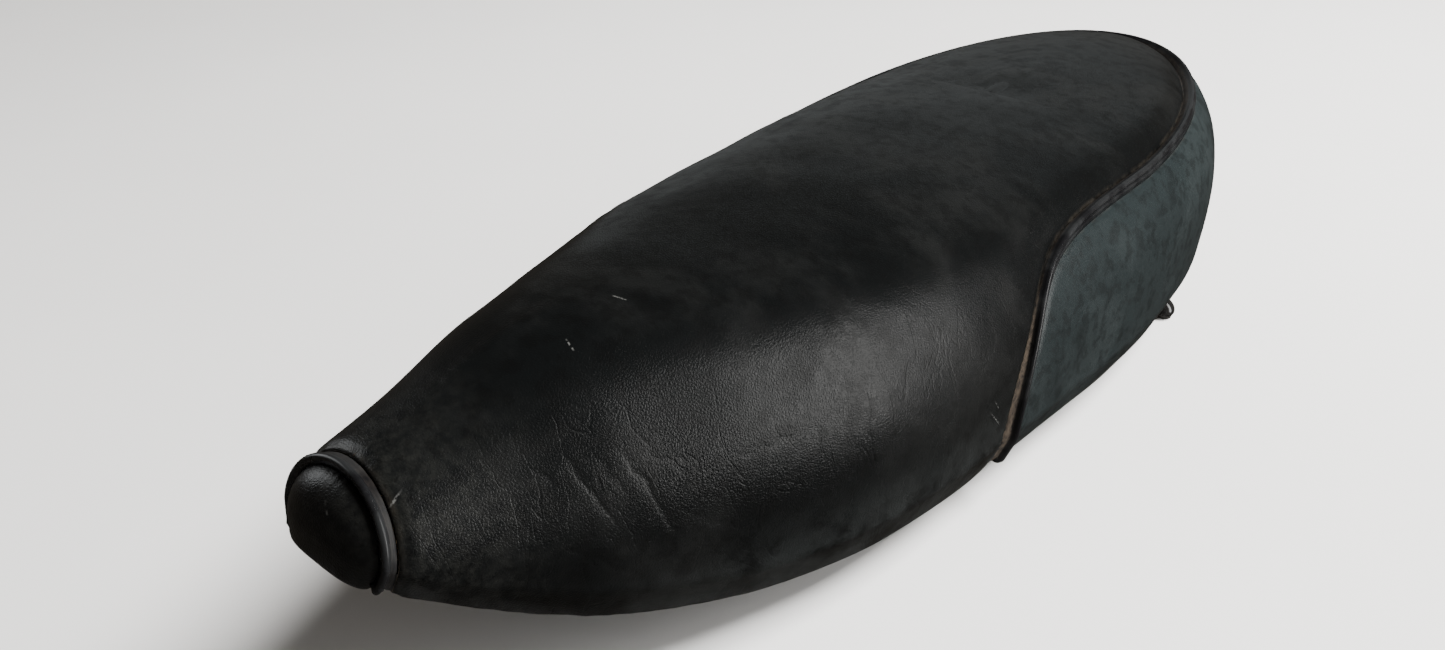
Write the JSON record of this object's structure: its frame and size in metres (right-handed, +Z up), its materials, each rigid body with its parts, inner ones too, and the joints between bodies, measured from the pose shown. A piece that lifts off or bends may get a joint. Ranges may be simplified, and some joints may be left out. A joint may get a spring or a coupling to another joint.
{
  "type": "motorcycle seat",
  "caption": "Long vinyl-covered motorcycle seat with a narrow nose and a raised-edge tail, on a steel pan with a front hinge, a rear latch and rubber buffers.",
  "frame": {"origin": "on the ground under the middle of the seat, which stands on its four buffers", "axes": "+Y to the tail, +X to the rider's left, +Z up"},
  "size_m": [0.239, 0.6871, 0.1567],
  "materials": {
    "top_vinyl": "worn black grained vinyl with a soft satin sheen",
    "band_vinyl": "faded blue-grey black grained vinyl",
    "piping_vinyl": "smooth glossy black vinyl over a cord",
    "foam": "aged open-cell polyurethane foam, hidden by the cover",
    "pan_paint": "black paint with rust at edges",
    "black_steel": "black enamelled steel",
    "zinc_steel": "dull zinc plating",
    "spring_steel": "dark spring steel",
    "buffer_rubber": "glossy black moulded rubber"
  },
  "bodies": {
    "seat": {"cover_top": "top_vinyl", "cover_nose": "top_vinyl", "cover_rear_band": "band_vinyl", "nose_piping": "piping_vinyl", "rear_piping": "piping_vinyl", "foam_core": "foam", "base_pan": "pan_paint", "cross_brace_front": "pan_paint", "cross_brace_rear": "pan_paint", "hem_clip_left_1": "spring_steel", "hem_clip_left_2": "spring_steel", "hem_clip_left_3": "spring_steel", "hem_clip_left_4": "spring_steel", "hem_clip_left_5": "spring_steel", "hem_clip_left_6": "spring_steel", "hem_clip_left_7": "spring_steel", "hem_clip_left_8": "spring_steel", "hem_clip_right_1": "spring_steel", "hem_clip_right_2": "spring_steel", "hem_clip_right_3": "spring_steel", "hem_clip_right_4": "spring_steel", "hem_clip_right_5": "spring_steel", "hem_clip_right_6": "spring_steel", "hem_clip_right_7": "spring_steel", "hem_clip_right_8": "spring_steel", "buffer_front_left": "buffer_rubber", "buffer_stud_front_left": "zinc_steel", "buffer_nut_front_left": "zinc_steel", "buffer_front_right": "buffer_rubber", "buffer_stud_front_right": "zinc_steel", "buffer_nut_front_right": "zinc_steel", "buffer_rear_left": "buffer_rubber", "buffer_stud_rear_left": "zinc_steel", "buffer_nut_rear_left": "zinc_steel", "buffer_rear_right": "buffer_rubber", "buffer_stud_rear_right": "zinc_steel", "buffer_nut_rear_right": "zinc_steel", "hinge_seat_leaf": "black_steel", "hinge_pin": "zinc_steel", "hinge_pin_washer": "spring_steel", "hinge_seat_leaf_rivet_left": "zinc_steel", "hinge_seat_leaf_rivet_right": "zinc_steel", "latch_bracket": "black_steel", "latch_pin": "zinc_steel", "latch_pin_washer": "spring_steel", "latch_spring": "spring_steel", "latch_bracket_rivet_left": "zinc_steel", "latch_bracket_rivet_right": "zinc_steel"},
    "frame_leaf": {"hinge_frame_leaf": "black_steel"},
    "hook": {"latch_hook": "zinc_steel"}
  },
  "joints": [
    {"name": "seat_hinge", "type": "hinge", "parent": "seat", "child": "frame_leaf", "pos_m": [0, -0.20784, 0.03499], "axis": [1, 0, 0], "range_deg": [-85, 15]},
    {"name": "latch_pivot", "type": "hinge", "parent": "seat", "child": "hook", "pos_m": [0, 0.29355, 0.02663], "axis": [1, 0, 0], "range_deg": [0, 24], "stiffness_Nm_per_rad": 0.06, "springref_deg": -9.74}
  ]
}
